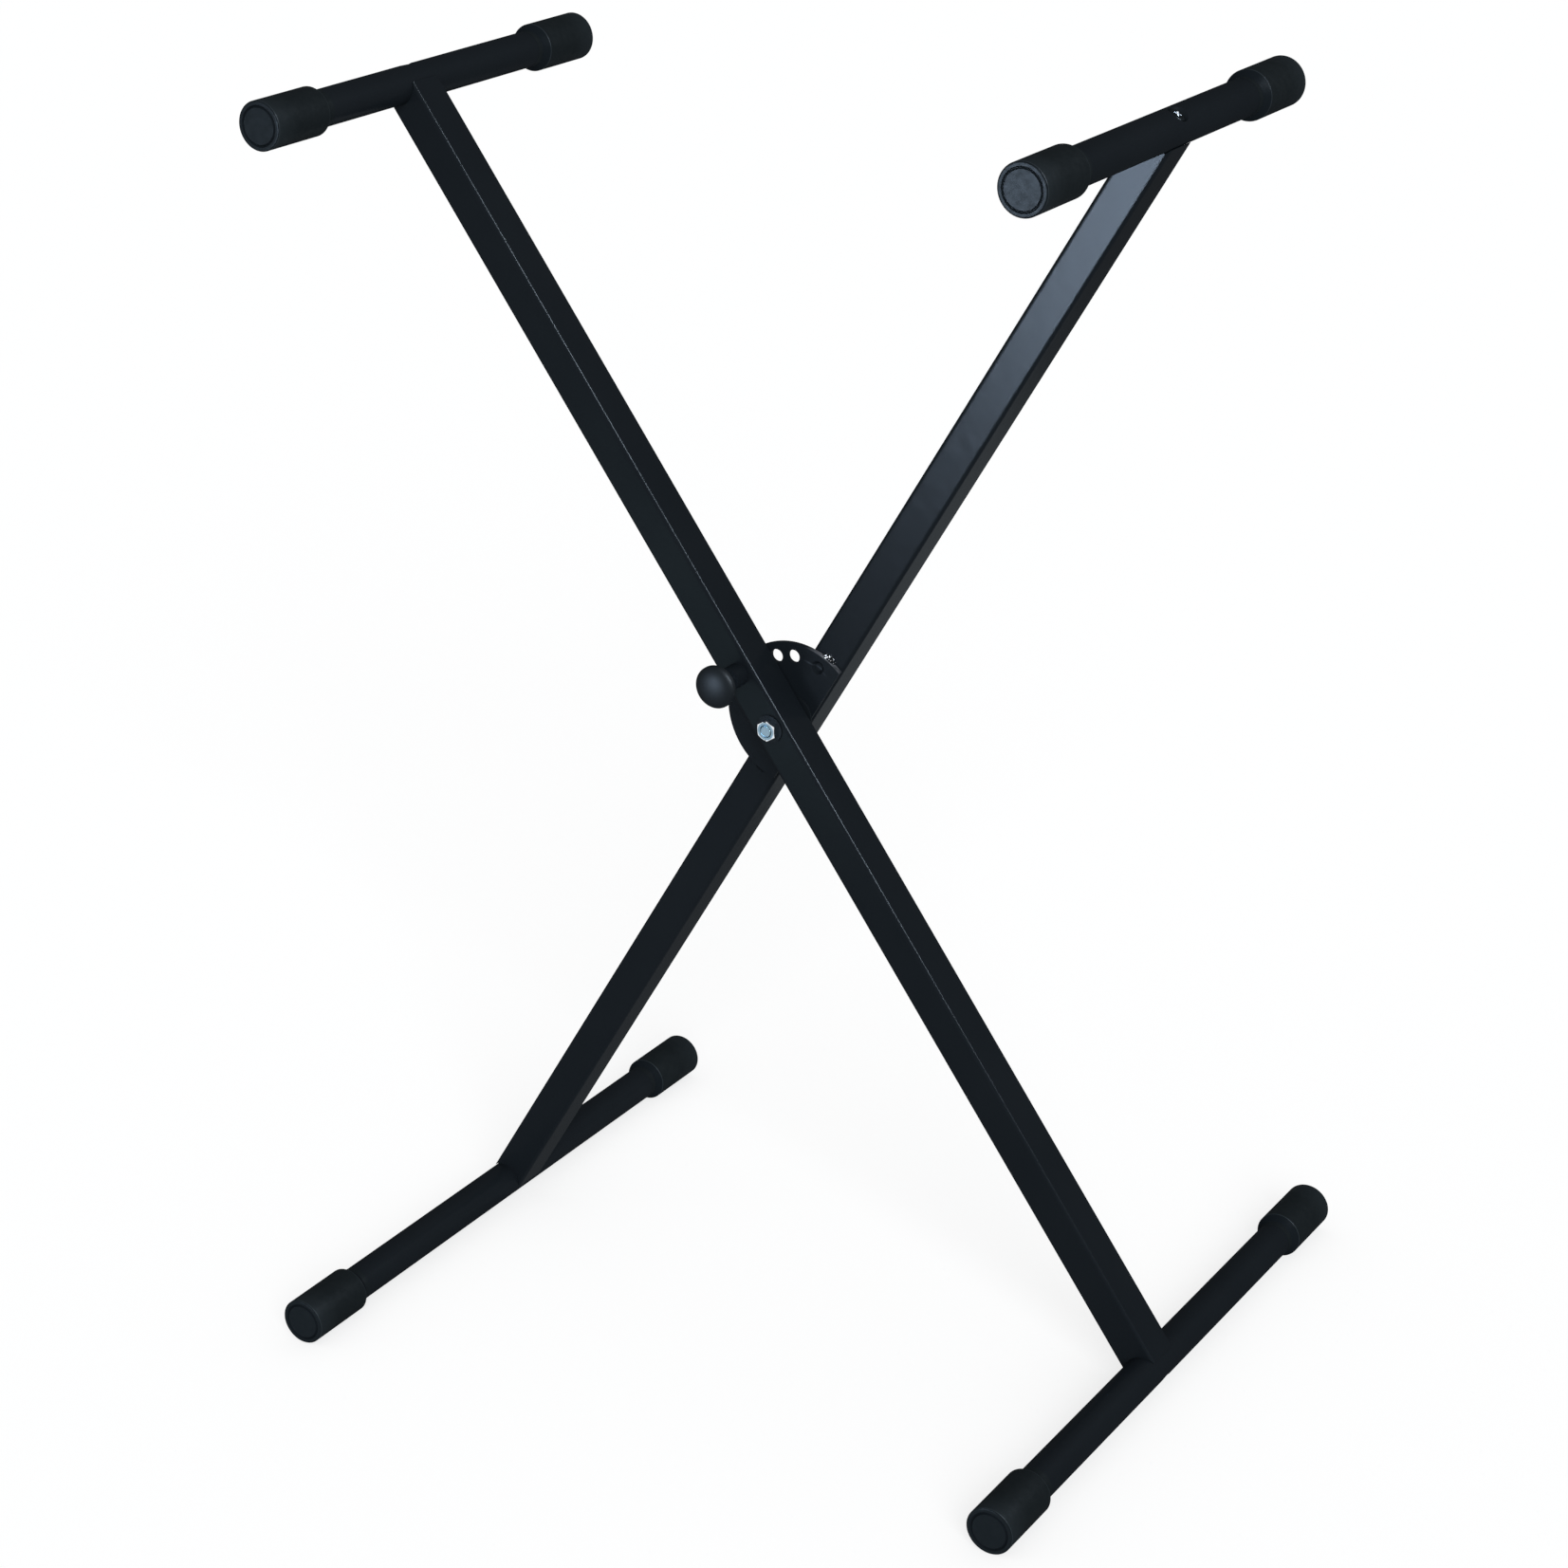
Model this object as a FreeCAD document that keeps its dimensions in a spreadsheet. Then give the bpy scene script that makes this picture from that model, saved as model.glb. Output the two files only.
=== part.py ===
import FreeCAD, Part
import math
import os

import Sketcher

# Single X-brace keyboard stand. X runs across the fold, Y along the rails, Z up; the stand rests on Z = 0
# below its pivot. The front frame is the one towards -Y, and its leg leans to -X at the top.

doc = FreeCAD.newDocument("keyboard_stand")
Vector = FreeCAD.Vector
Placement = FreeCAD.Placement
Rotation = FreeCAD.Rotation

# Driving dimensions in millimetres; the names that end in angle are degrees.
DIMENSIONS = {
    # legs
    "leg_width": 25.6,
    "leg_depth": 28.7,
    "leg_wall": 1.5,
    "leg_corner": 3.5,
    "leg_upper": 496.4,
    "leg_lower": 503.6,
    "lean_angle": 33.38,
    "legs_gap": 5.0,
    "rail_wrap": 4.0,
    # rails
    "rail_diameter": 25.0,
    "rail_wall": 1.5,
    "top_rail_length": 354.0,
    "foot_rail_length": 491.5,
    "rail_shift": 3.0,
    "top_setback": 3.0,
    "foot_setback": 0.0,
    "dimple_mouth": 16.0,
    "dimple_floor": 12.0,
    "dimple_depth": 3.2,
    # end caps
    "cap_wall": 4.0,
    "cap_length": 62.0,
    "cap_shoulder": 9.5,
    "cap_end_wall": 4.0,
    "cap_lip": 0.8,
    "cap_edge_round": 2.3,
    "cap_shoulder_round": 20.0,
    "cap_ring_inset": 4.0,
    "cap_ring_width": 1.8,
    "cap_ring_depth": 1.0,
    # rail screws and the threaded inserts in the leg ends
    "screw_diameter": 6.0,
    "screw_head": 11.0,
    "screw_head_height": 3.4,
    "screw_grip": 14.0,
    "recess_width": 1.4,
    "recess_length": 6.0,
    "recess_depth": 1.6,
    "insert_length": 20.0,
    "insert_gap": 1.0,
    # lock plate
    "plate_radius": 52.0,
    "plate_thickness": 3.0,
    "plate_edge_inset": 0.8,
    "lock_edge": 9.5,
    "lock_hole": 9.3,
    "lock_step_angle": 18.2,
    "park_gap": 0.3,
    "weld_leg": 3.0,
    "weld_angle": 12.0,
    # pivot
    "pivot_diameter": 8.0,
    "hex_flats": 13.0,
    "nut_height": 4.0,
    "head_height": 5.3,
    "bolt_stub": 0.4,
    "washer_diameter": 20.0,
    "washer_thickness": 1.0,
    "spacer_diameter": 30.0,
    "sleeve_diameter": 12.0,
    # lock pin, bush, spring and knob
    "pin_nose": 8.6,
    "pin_tip": 5.0,
    "pin_tip_length": 2.0,
    "pin_nose_length": 13.0,
    "pin_shaft": 6.0,
    "pin_clear": 1.0,
    "pin_knob_grip": 9.0,
    "bush_diameter": 13.0,
    "bush_boss_diameter": 16.0,
    "bush_boss_length": 12.0,
    "bush_front_wall": 2.5,
    "knob_diameter": 29.6,
    "knob_standoff": 26.5,
    "knob_back": 5.5,
    "knob_rim": 1.5,
    "knob_dome": 6.5,
    "knob_neck": 15.0,
    "spring_wire": 0.9,
    "spring_end_gap": 0.2,
    # fits
    "running_clearance": 0.05,
    "seat_clearance": 0.05,
    "cap_clearance": 1.5,
    "overrun": 5.0,
}
LOCK_HOLES_WIDER = 2
LOCK_HOLES = 5
SPRING_TURNS = 9
FULL_TURN = 360
HALF_TURN = FULL_TURN / 2
QUARTER_TURN = FULL_TURN / 4
HEX_SIDES = 6

sheet = doc.addObject("Spreadsheet::Sheet", "sizes")
for row, (alias, number) in enumerate(DIMENSIONS.items(), start=1):
    sheet.set(f"A{row}", alias)
    sheet.set(f"B{row}", str(number))
    sheet.setAlias(f"B{row}", alias)
doc.recompute()


def value(expression):
    """The number that an expression over the sheet gives."""
    return float(sheet.evalExpression(expression))


def size(alias):
    """The value of one driving dimension."""
    return value("sizes." + alias)


def bind(target, **expressions):
    """Ties properties to the sheet; a double underscore in a name stands for a dot."""
    for name, expression in expressions.items():
        target.setExpression(name.replace("__", "."), expression)
    return target


# Places that follow from the driving dimensions.
LOCK_RADIUS = "(sizes.plate_radius - sizes.lock_edge)"
CAP_RADIUS = "(sizes.rail_diameter / 2 + sizes.cap_wall)"
lean = size("lean_angle")
pivot_height = size("leg_lower") * math.cos(math.radians(lean)) + value(CAP_RADIUS)
leg_offset = value("(sizes.leg_depth + sizes.legs_gap) / 2")
closest_rails = min(size("leg_upper"), size("leg_lower"))
folded_angle = 2 * math.degrees(math.asin(value(f"{CAP_RADIUS} + sizes.cap_clearance / 2") / closest_rails))
plate_front = value("sizes.legs_gap / 2 - sizes.plate_thickness")
leg_front = value("-sizes.legs_gap / 2 - sizes.leg_depth")
SIDES = {"front": -1, "rear": 1}
LEVELS = ("top", "foot")
ENDS = ("near", "far")

UP_THE_LEG = Rotation(Vector(0, 0, 1), Vector(1, 0, 0), Vector(0, 1, 0), "ZXY")
DOWN_THE_LEG = Rotation(Vector(0, 0, -1), Vector(-1, 0, 0), Vector(0, 1, 0), "ZXY")
UPSIDE_DOWN = Rotation(Vector(1, 0, 0), HALF_TURN)
ALONG_X = Rotation(Vector(0, 1, 0), QUARTER_TURN)
TOWARDS_REAR = Rotation(Vector(1, 0, 0), -QUARTER_TURN)
TOWARDS_FRONT = Rotation(Vector(1, 0, 0), QUARTER_TURN)
CORNER_UP = TOWARDS_FRONT * Rotation(Vector(0, 0, 1), HALF_TURN / HEX_SIDES)


def at(x, y, z, rotation=None):
    return Placement(Vector(x, y, z), rotation or Rotation())


def pivot_frame(turn=0):
    """The frame at the pivot, on the stand's middle plane, turned about the pivot axis."""
    return at(0, 0, pivot_height, Rotation(Vector(0, 1, 0), turn))


def leg_frame(side):
    """The frame of a leg: origin at the pivot in the leg's own middle plane, Z up the leg."""
    return pivot_frame(SIDES[side] * lean) * at(0, SIDES[side] * leg_offset, 0)


def rail_middle(side, level):
    """How far the middle of a rail lies behind its leg's middle plane, as an expression."""
    return (f"(sizes.{level}_setback + ({SIDES[side]}) * "
            "(sizes.rail_shift - (sizes.leg_depth + sizes.legs_gap) / 2))")


# Helpers for sketched bodies.
parts = []


def finish(part, label, placement):
    """Names a finished sub-part, puts it in its place and lists it for writing."""
    part.Label = label
    part.Placement = placement
    parts.append(part)
    return part


def new_body(label):
    return doc.addObject("PartDesign::Body", label + "_body")


def new_sketch(body, name, role):
    sketch = body.newObject("Sketcher::SketchObject", name)
    plane = next(feature for feature in body.Origin.OriginFeatures if feature.Role == role)
    sketch.AttachmentSupport = [(plane, "")]
    sketch.MapMode = "FlatFace"
    return sketch


def constrain(sketch, kind, *where, expression=None):
    """Adds a constraint, with its size bound to an expression where it has one."""
    if expression is None:
        sketch.addConstraint(Sketcher.Constraint(kind, *where))
    else:
        index = sketch.addConstraint(Sketcher.Constraint(kind, *where, value(expression)))
        sketch.setExpression(f"Constraints[{index}]", expression)


def polygon(sketch, corners):
    """A closed outline of straight lines."""
    count = len(corners)
    for start, end in zip(corners, corners[1:] + corners[:1]):
        sketch.addGeometry(Part.LineSegment(start, end))
    for line in range(count):
        constrain(sketch, "Coincident", line, 2, (line + 1) % count, 1)


def rectangle(sketch, width, height):
    """A rectangle centred on the sketch's origin."""
    across, up = value(f"({width}) / 2"), value(f"({height}) / 2")
    polygon(sketch, [Vector(-across, -up), Vector(across, -up), Vector(across, up), Vector(-across, up)])
    for line in range(4):
        constrain(sketch, "Vertical" if line % 2 else "Horizontal", line)
    constrain(sketch, "Symmetric", 0, 1, 2, 1, -1, 1)
    constrain(sketch, "DistanceX", 0, 1, 0, 2, expression=width)
    constrain(sketch, "DistanceY", 1, 1, 1, 2, expression=height)


def circle(sketch, diameter, up=None):
    """A circle on the sketch's upright axis, at the origin or a given way up."""
    radius = f"({diameter}) / 2"
    centre = Vector(0, value(up) if up else 0, 0)
    index = sketch.addGeometry(Part.Circle(centre, Vector(0, 0, 1), value(radius)))
    constrain(sketch, "Radius", index, expression=radius)
    if up is None:
        constrain(sketch, "Coincident", index, 3, -1, 1)
    else:
        constrain(sketch, "PointOnObject", index, 3, -2)
        constrain(sketch, "DistanceY", -1, 1, index, 3, expression=up)


def profile(sketch, points):
    """A closed outline through points given as pairs of expressions; 0 lies on the axis."""
    polygon(sketch, [Vector(value(str(across)), value(str(along))) for across, along in points])
    for line, (across, along) in enumerate(points):
        if across == 0:
            constrain(sketch, "PointOnObject", line, 1, -2)
        else:
            constrain(sketch, "DistanceX", -1, 1, line, 1, expression=across)
        if along == 0:
            constrain(sketch, "PointOnObject", line, 1, -1)
        else:
            constrain(sketch, "DistanceY", -1, 1, line, 1, expression=along)


def revolve(body, points, kind="PartDesign::Revolution"):
    """Turns an outline about the body's Z axis, to add or to cut."""
    sketch = new_sketch(body, body.Name + "_outline", "XZ_Plane")
    profile(sketch, points)
    turned = body.newObject(kind, body.Name + "_turned")
    turned.Profile = sketch
    turned.ReferenceAxis = (sketch, ["V_Axis"])
    turned.Angle = FULL_TURN
    doc.recompute()
    return turned


def pad(body, name, sketch, length):
    block = body.newObject("PartDesign::Pad", name)
    block.Profile = sketch
    bind(block, Length=length)
    return block


def pocket_through(body, sketch):
    """Cuts a sketch right through a body, both ways from the sketch's plane."""
    cut = body.newObject("PartDesign::Pocket", body.Name + "_through")
    cut.Profile = sketch
    cut.SideType = "Symmetric"
    cut.Type = "ThroughAll"
    doc.recompute()
    return cut


def fillet(body, radius, chosen):
    """Rounds the edges that a test picks, by a bound radius."""
    doc.recompute()
    base = body.Tip
    names = [f"Edge{i}" for i, edge in enumerate(base.Shape.Edges, start=1) if chosen(edge)]
    rounded = body.newObject("PartDesign::Fillet", body.Name + "_round")
    rounded.Base = (base, names)
    bind(rounded, Radius=radius)
    doc.recompute()
    return rounded


def near(first, second):
    return abs(first - second) < size("seat_clearance")


def rim_at(radius, along):
    """A test for the round edge of a turned piece with a given radius and height."""
    def test(edge):
        curve = edge.Curve
        return isinstance(curve, Part.Circle) and near(curve.Radius, radius) and near(curve.Center.z, along)
    return test


def upright(edge):
    box = edge.BoundBox
    return box.ZLength > box.XLength + box.YLength


# Helpers for pieces made of primitives.
def cylinder(name, diameter, height, up=None):
    made = doc.addObject("Part::Cylinder", name)
    bind(made, Radius=f"({diameter}) / 2", Height=height)
    return bind(made, Placement__Base__z=up) if up else made


def cone(name, lower, upper, height):
    made = doc.addObject("Part::Cone", name)
    return bind(made, Radius1=f"({lower}) / 2", Radius2=f"({upper}) / 2", Height=height)


def prism(name, flats, height):
    made = doc.addObject("Part::Prism", name)
    made.Polygon = HEX_SIDES
    return bind(made, Circumradius=f"({flats}) / sqrt(3)", Height=height)


def bar(name, length, width, height, up):
    """A block centred on the Z axis, from a given height up."""
    made = doc.addObject("Part::Box", name)
    bind(made, Length=length, Width=width, Height=height)
    return bind(made, Placement__Base__x=f"-({length}) / 2", Placement__Base__y=f"-({width}) / 2",
                Placement__Base__z=up)


def half_ellipsoid(name, height, start, end):
    """Half of the knob's flattened ball, between two angles from its widest ring."""
    made = doc.addObject("Part::Ellipsoid", name)
    made.Angle1 = start
    made.Angle2 = end
    return bind(made, Radius1=height, Radius2="sizes.knob_diameter / 2", Radius3="sizes.knob_diameter / 2")


def combine(kind, name, base, tool):
    made = doc.addObject("Part::" + kind, name)
    made.Base = base
    made.Tool = tool
    return made


def group(name, pieces):
    made = doc.addObject("Part::Compound", name)
    made.Links = pieces
    return made


def ring(name, outer, inner, height):
    """A plain ring or sleeve along Z."""
    return combine("Cut", name, cylinder(name + "_outer", outer, height),
                   cylinder(name + "_bore", inner, f"{height} + 2 * sizes.overrun", "-sizes.overrun"))


# Legs: box tube, coped at both ends onto the rails and drilled for the pivot sleeve and the lock bush.
def make_leg(side):
    label = side + "_leg"
    body = new_body(label)
    outline = new_sketch(body, label + "_section", "XY_Plane")
    bind(outline, AttachmentOffset__Base__z="sizes.rail_wrap - sizes.leg_lower")
    rectangle(outline, "sizes.leg_width", "sizes.leg_depth")
    pad(body, label + "_tube", outline, "sizes.leg_upper + sizes.leg_lower - 2 * sizes.rail_wrap")
    fillet(body, "sizes.leg_corner", upright)
    inside = new_sketch(body, label + "_inside", "XY_Plane")
    rectangle(inside, "sizes.leg_width - 2 * sizes.leg_wall", "sizes.leg_depth - 2 * sizes.leg_wall")
    pocket_through(body, inside)
    inner_half_width = value("sizes.leg_width / 2 - sizes.leg_wall")
    inner_half_depth = value("sizes.leg_depth / 2 - sizes.leg_wall")

    def inner_corner(edge):
        middle = edge.BoundBox.Center
        inside_wall = near(abs(middle.x), inner_half_width) and near(abs(middle.y), inner_half_depth)
        return upright(edge) and inside_wall

    fillet(body, "sizes.leg_corner - sizes.leg_wall", inner_corner)
    holes = new_sketch(body, label + "_holes", "XZ_Plane")
    circle(holes, "sizes.rail_diameter + 2 * sizes.seat_clearance", "sizes.leg_upper")
    circle(holes, "sizes.rail_diameter + 2 * sizes.seat_clearance", "-sizes.leg_lower")
    circle(holes, "sizes.sleeve_diameter + 2 * sizes.seat_clearance")
    if side == "front":
        circle(holes, "sizes.bush_diameter + 2 * sizes.seat_clearance", LOCK_RADIUS)
    pocket_through(body, holes)
    finish(body, label, leg_frame(side))


# Rails: round tube with a pressed dimple, on the side away from the leg, for the screw's head.
# A rail is made along Z, with the screw's axis along X through its origin.
def make_rail(side, level):
    label = f"{side}_{level}_rail"
    length = f"(sizes.{level}_rail_length - 2 * sizes.cap_end_wall)"
    start = f"{rail_middle(side, level)} - {length} / 2"
    outer = cylinder(label + "_outer", "sizes.rail_diameter", length, start)
    inner = cylinder(label + "_bore", "sizes.rail_diameter - 2 * sizes.rail_wall",
                     f"{length} + 2 * sizes.overrun", f"{start} - sizes.overrun")
    tube = combine("Cut", label + "_tube", outer, inner)
    floor = "sizes.rail_diameter / 2 - sizes.dimple_depth"
    slope = "((sizes.dimple_mouth - sizes.dimple_floor) / sizes.dimple_depth)"
    pressing = cone(label + "_pressing", "sizes.dimple_floor + 2 * sizes.rail_wall",
                    f"sizes.dimple_mouth + 2 * sizes.rail_wall + {slope} * sizes.rail_wall",
                    "sizes.dimple_depth + sizes.rail_wall")
    hollow = cone(label + "_hollow", "sizes.dimple_floor", f"sizes.dimple_mouth + {slope} * sizes.overrun",
                  "sizes.dimple_depth + sizes.overrun")
    drill = cylinder(label + "_drill", "sizes.screw_diameter + 2 * sizes.seat_clearance",
                     "sizes.rail_diameter + 2 * sizes.overrun")
    for tool, place in ((pressing, f"{floor} - sizes.rail_wall"), (hollow, floor),
                        (drill, "-sizes.rail_diameter / 2 - sizes.overrun")):
        tool.Placement = at(0, 0, 0, ALONG_X)
        bind(tool, Placement__Base__x=place)
    envelope = cylinder(label + "_envelope", "sizes.rail_diameter", length, start)
    cup = combine("Common", label + "_cup", pressing, envelope)
    dimpled = combine("Cut", label + "_dimpled", combine("Fuse", label + "_joined", tube, cup), hollow)
    rail = combine("Cut", label, dimpled, drill)
    turn, height = (UP_THE_LEG, size("leg_upper")) if level == "top" else (DOWN_THE_LEG, -size("leg_lower"))
    finish(rail, label, leg_frame(side) * at(0, 0, height, turn))


# End caps: rubber cups with a rounded end, a ring groove on the end face and a shoulder that thins to a lip.
def make_cap(side, level, end):
    label = f"{side}_{level}_cap_{end}"
    body = new_body(label)
    barrel = "sizes.cap_length - sizes.cap_shoulder"
    bore = "sizes.rail_diameter / 2 + sizes.seat_clearance"
    revolve(body, [
        (0, 0), (CAP_RADIUS, 0), (CAP_RADIUS, barrel), (f"{bore} + sizes.cap_lip", "sizes.cap_length"),
        (bore, "sizes.cap_length"), (bore, "sizes.cap_end_wall"), (0, "sizes.cap_end_wall")])
    ring_outer = f"{CAP_RADIUS} - sizes.cap_ring_inset"
    ring_inner = f"{ring_outer} - sizes.cap_ring_width"
    revolve(body, [(ring_inner, 0), (ring_outer, 0), (ring_outer, "sizes.cap_ring_depth"),
                   (ring_inner, "sizes.cap_ring_depth")], "PartDesign::Groove")
    fillet(body, "sizes.cap_shoulder_round", rim_at(value(CAP_RADIUS), value(barrel)))
    fillet(body, "sizes.cap_edge_round", rim_at(value(CAP_RADIUS), 0))
    reach = size(level + "_rail_length") / 2
    middle = value(rail_middle(side, level))
    height = size("leg_upper") if level == "top" else -size("leg_lower")
    turn, place = (TOWARDS_REAR, middle - reach) if end == "near" else (TOWARDS_FRONT, middle + reach)
    finish(body, label, leg_frame(side) * at(0, place, height, turn))


# Threaded inserts: blocks fixed in the leg ends, tapped for the rail screws.
def make_insert(side, level):
    label = f"{side}_{level}_insert"
    body = new_body(label)
    outline = new_sketch(body, label + "_section", "XY_Plane")
    room = "2 * (sizes.leg_wall + sizes.seat_clearance)"
    rectangle(outline, f"sizes.leg_width - {room}", f"sizes.leg_depth - {room}")
    circle(outline, "sizes.screw_diameter + 2 * sizes.seat_clearance")
    pad(body, label + "_block", outline, "sizes.insert_length")

    def outer_corner(edge):
        return upright(edge) and not isinstance(edge.Curve, Part.Circle) and len(edge.Vertexes) == 2

    fillet(body, "sizes.leg_corner - sizes.leg_wall", outer_corner)
    seat = value("sizes.rail_diameter / 2 + sizes.insert_gap")
    height = size("leg_upper") - seat - size("insert_length") if level == "top" else seat - size("leg_lower")
    finish(body, label, leg_frame(side) * at(0, 0, height))


# Rail screws: pan heads with a cross recess, in the dimples of a frame's two rails.
def make_screw(name, placement):
    head = cylinder(name + "_head", "sizes.screw_head", "sizes.screw_head_height")
    reach = "(sizes.rail_diameter - sizes.dimple_depth + sizes.insert_gap + sizes.screw_grip)"
    shank = cylinder(name + "_shank", "sizes.screw_diameter", reach, f"-{reach}")
    recess_height = "sizes.recess_depth + sizes.overrun"
    recess_floor = "sizes.screw_head_height - sizes.recess_depth"
    along = bar(name + "_along", "sizes.recess_length", "sizes.recess_width", recess_height, recess_floor)
    across = bar(name + "_across", "sizes.recess_width", "sizes.recess_length", recess_height, recess_floor)
    screw = combine("Cut", name, combine("Fuse", name + "_plain", head, shank),
                    combine("Fuse", name + "_recess", along, across))
    screw.Placement = placement
    return screw


def make_screws(side):
    label = side + "_rail_screws"
    seat = value("sizes.rail_diameter / 2 - sizes.dimple_depth")
    upper = make_screw(label + "_top", at(0, 0, size("leg_upper") + seat))
    lower = make_screw(label + "_foot", at(0, 0, -size("leg_lower") - seat, UPSIDE_DOWN))
    finish(group(label, [upper, lower]), label, leg_frame(side))


# Lock plate: a round plate cut off straight along the rear leg's edge, with a row of lock holes and a
# blind conical seat where the pin parks when the stand is folded. Made in the rear leg's frame.
def make_plate():
    label = "lock_plate"
    body = new_body(label)
    outline = new_sketch(body, label + "_outline", "XZ_Plane")
    edge = "sizes.leg_width / 2 - sizes.plate_edge_inset"
    radius = size("plate_radius")
    half = math.acos(value(edge) / radius)
    whole = Part.Circle(Vector(0, 0, 0), Vector(0, 0, 1), radius)
    arc = outline.addGeometry(Part.ArcOfCircle(whole, half, math.radians(FULL_TURN) - half))
    rise = radius * math.sin(half)
    chord = outline.addGeometry(Part.LineSegment(Vector(value(edge), -rise), Vector(value(edge), rise)))
    constrain(outline, "Coincident", arc, 3, -1, 1)
    constrain(outline, "Coincident", arc, 2, chord, 1)
    constrain(outline, "Coincident", chord, 2, arc, 1)
    constrain(outline, "Vertical", chord)
    constrain(outline, "Radius", arc, expression="sizes.plate_radius")
    constrain(outline, "DistanceX", -1, 1, chord, 1, expression=edge)
    circle(outline, "sizes.sleeve_diameter + 2 * sizes.seat_clearance")
    pad(body, label + "_sheet", outline, "sizes.plate_thickness")
    hole = new_sketch(body, label + "_hole", "XZ_Plane")
    widest = f"2 * sizes.lean_angle + {LOCK_HOLES_WIDER} * sizes.lock_step_angle"
    bind(hole, AttachmentOffset__Rotation__Angle=widest)
    circle(hole, "sizes.lock_hole", LOCK_RADIUS)
    drilled = pocket_through(body, hole)
    row = body.newObject("PartDesign::PolarPattern", label + "_row")
    row.Originals = [drilled]
    row.Axis = (hole, ["N_Axis"])
    row.Occurrences = LOCK_HOLES
    row.Reversed = True
    bind(row, Angle=f"{LOCK_HOLES - 1} * sizes.lock_step_angle")
    body.Tip = row
    doc.recompute()
    widening = "((sizes.pin_nose - sizes.pin_tip) / sizes.pin_tip_length)"
    play = "(sizes.lock_hole - sizes.pin_nose)"
    depth = "(sizes.pin_tip_length + sizes.park_gap)"
    park = cone(label + "_park", f"sizes.pin_tip + {play} - {widening} * sizes.park_gap",
                f"sizes.lock_hole + {widening} * sizes.overrun", f"{depth} + sizes.overrun")
    floor = value(f"{depth} - sizes.plate_thickness")
    park.Placement = (at(0, 0, 0, Rotation(Vector(0, 1, 0), -folded_angle))
                      * at(0, floor, value(LOCK_RADIUS), TOWARDS_FRONT))
    plate = combine("Cut", label, body, park)
    finish(plate, label, pivot_frame(lean) * at(0, size("legs_gap") / 2, 0))


# Weld beads where the plate's rim crosses the rear leg, above and below the pivot.
def make_welds():
    label = "plate_welds"
    beads = []
    for name, middle in (("upper", QUARTER_TURN), ("lower", -QUARTER_TURN)):
        slope = cone(f"{label}_{name}_slope", "2 * (sizes.plate_radius + sizes.weld_leg)",
                     "2 * sizes.plate_radius", "sizes.weld_leg")
        bind(slope, Angle="sizes.weld_angle")
        rim = cylinder(f"{label}_{name}_rim", "2 * sizes.plate_radius", "sizes.weld_leg + 2 * sizes.overrun",
                       "-sizes.overrun")
        bead = combine("Cut", f"{label}_{name}", slope, rim)
        first = middle - size("weld_angle") / 2
        bead.Placement = at(0, 0, 0, TOWARDS_FRONT * Rotation(Vector(0, 0, 1), first))
        beads.append(bead)
    finish(group(label, beads), label, pivot_frame(lean) * at(0, size("legs_gap") / 2, 0))


# Pivot: bolt from the rear, washers, spacer between front leg and plate, nut in front, sleeves in the legs.
# Each piece is made along Z, which then points to the front.
def make_pivot():
    back = value("sizes.legs_gap / 2 + sizes.leg_depth")
    outer = back + size("washer_thickness")
    shank_length = ("sizes.head_height + 2 * (sizes.washer_thickness + sizes.leg_depth) + sizes.legs_gap"
                    " + sizes.nut_height + sizes.bolt_stub")
    head = prism("pivot_bolt_head", "sizes.hex_flats", "sizes.head_height")
    shank = cylinder("pivot_bolt_shank", "sizes.pivot_diameter", shank_length)
    finish(combine("Fuse", "pivot_bolt", head, shank), "pivot_bolt",
           pivot_frame() * at(0, outer + size("head_height"), 0, CORNER_UP))
    clear = "sizes.pivot_diameter + 2 * sizes.running_clearance"
    blank = prism("pivot_nut_blank", "sizes.hex_flats", "sizes.nut_height")
    bevel = cone("pivot_nut_bevel", "sizes.hex_flats + 2 * sizes.nut_height * sqrt(3)", "sizes.hex_flats",
                 "sizes.nut_height")
    thread = cylinder("pivot_nut_thread", clear, "sizes.nut_height + 2 * sizes.overrun", "-sizes.overrun")
    nut = combine("Cut", "pivot_nut", combine("Common", "pivot_nut_body", blank, bevel), thread)
    finish(nut, "pivot_nut", pivot_frame() * at(0, -outer, 0, CORNER_UP))
    for label, start, diameter, length in (
            ("front_pivot_washer", -back, "sizes.washer_diameter", "sizes.washer_thickness"),
            ("rear_pivot_washer", outer, "sizes.washer_diameter", "sizes.washer_thickness"),
            ("pivot_spacer", plate_front, "sizes.spacer_diameter", "sizes.legs_gap - sizes.plate_thickness"),
            ("front_pivot_sleeve", -size("legs_gap") / 2, "sizes.sleeve_diameter", "sizes.leg_depth"),
            ("rear_pivot_sleeve", back, "sizes.sleeve_diameter", "sizes.leg_depth + sizes.plate_thickness")):
        finish(ring(label, diameter, clear, length), label, pivot_frame() * at(0, start, 0, TOWARDS_FRONT))


# Lock: bush through the front leg, pin with a tapered nose, spring round its shaft and pull knob.
# The pin is drawn back just clear of the plate. Each piece is turned about Z, which then points to the front.
def lock_place(y):
    return pivot_frame(-lean) * at(0, y, value(LOCK_RADIUS), TOWARDS_FRONT)


def make_bush():
    label = "lock_bush"
    bush = new_body(label)
    outside = "sizes.bush_diameter / 2"
    boss = "sizes.bush_boss_diameter / 2"
    bore = "sizes.pin_nose / 2 + sizes.running_clearance"
    guide = "sizes.pin_shaft / 2 + sizes.running_clearance"
    front_end = "sizes.leg_depth + sizes.bush_boss_length"
    inner_end = f"{front_end} - sizes.bush_front_wall"
    revolve(bush, [
        (bore, 0), (outside, 0), (outside, "sizes.leg_depth"), (boss, "sizes.leg_depth"), (boss, front_end),
        (guide, front_end), (guide, inner_end), (bore, inner_end)])
    finish(bush, label, lock_place(-size("legs_gap") / 2))


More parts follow.
